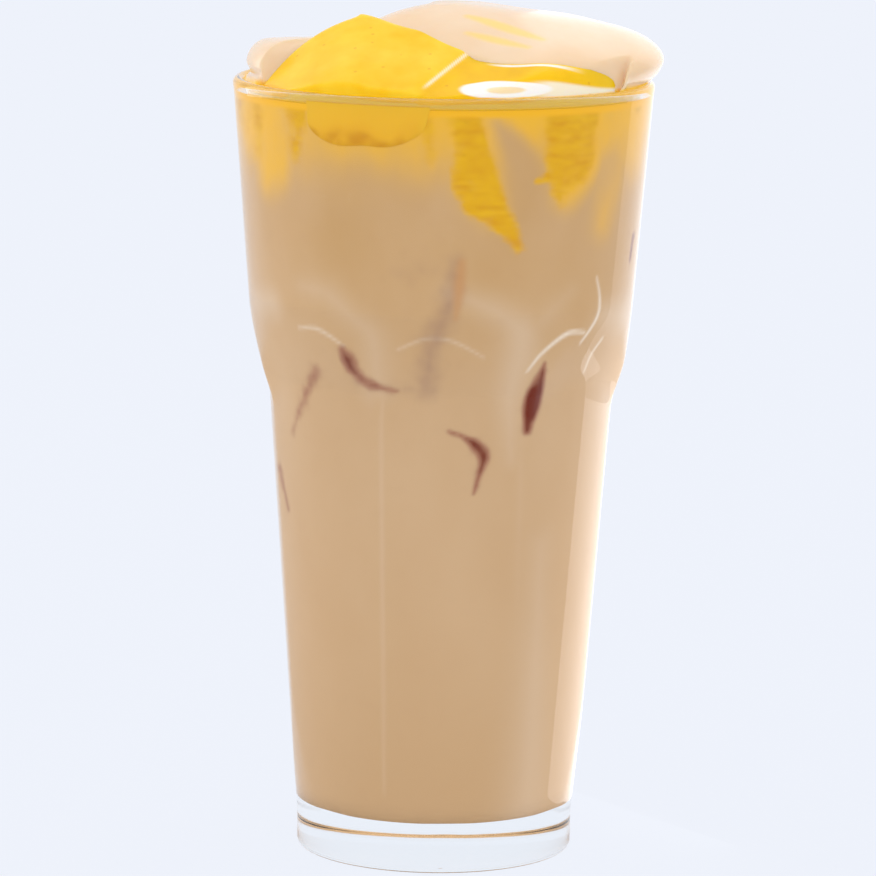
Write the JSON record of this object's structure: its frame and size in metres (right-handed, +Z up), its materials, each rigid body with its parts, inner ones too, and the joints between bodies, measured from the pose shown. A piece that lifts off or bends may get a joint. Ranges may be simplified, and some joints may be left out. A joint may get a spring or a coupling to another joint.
{
  "type": "glass of pudding milk tea",
  "caption": "Tall panelled glass with arched panel tops and a flared rim, full of milk tea, topped with egg pudding and a dome of cream.",
  "frame": {"origin": "centre of the ring that the glass stands on, in the plane of that ring", "axes": "+Z up along the axis of the glass, -Y towards the side where the pudding shows, +X to the right of it"},
  "size_m": [0.0865, 0.084, 0.171],
  "materials": {
    "glass": "clear, fire polished",
    "milk_tea": "opaque milky drink, wet",
    "pudding": "glossy egg pudding",
    "cream": "pale glossy cream"
  },
  "bodies": {
    "root": {"glass": "glass", "milk_tea": "milk_tea", "pudding": "pudding", "pudding_piece": "pudding", "cream": "cream"}
  },
  "joints": []
}
